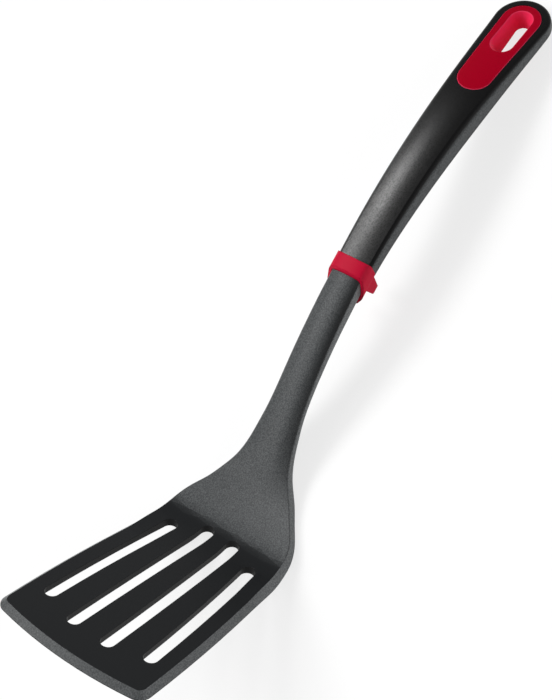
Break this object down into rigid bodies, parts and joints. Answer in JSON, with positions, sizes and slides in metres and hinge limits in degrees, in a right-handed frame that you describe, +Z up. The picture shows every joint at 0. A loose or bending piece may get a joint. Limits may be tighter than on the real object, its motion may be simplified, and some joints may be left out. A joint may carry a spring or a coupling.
{
  "type": "grill spatula",
  "caption": "Slotted grill spatula with an angled blade, a slim shank, a moulded grip with a lined hanging slot, and a collar with a foot that hooks over a pan's rim.",
  "frame": {"origin": "middle of the tool's footprint, on the worktop that it lies on", "axes": "+X along the tool from the blade's front edge to the grip's end, +Y across the blade, +Z up; the tool lies on the heel of its blade and the end of its grip, as it does when it is put down"},
  "size_m": [0.3656, 0.0854, 0.0837],
  "materials": {
    "filled_nylon": "spark-eroded matt on the shank, smoother on the blade's top",
    "red_elastomer": "matt",
    "grip_polypropylene": "satin with a fine grain",
    "red_polypropylene": "satin"
  },
  "bodies": {
    "root": {"blade_and_shank": "filled_nylon", "rest_collar": "red_elastomer", "grip": "grip_polypropylene", "hanging_insert": "red_polypropylene"}
  },
  "joints": []
}
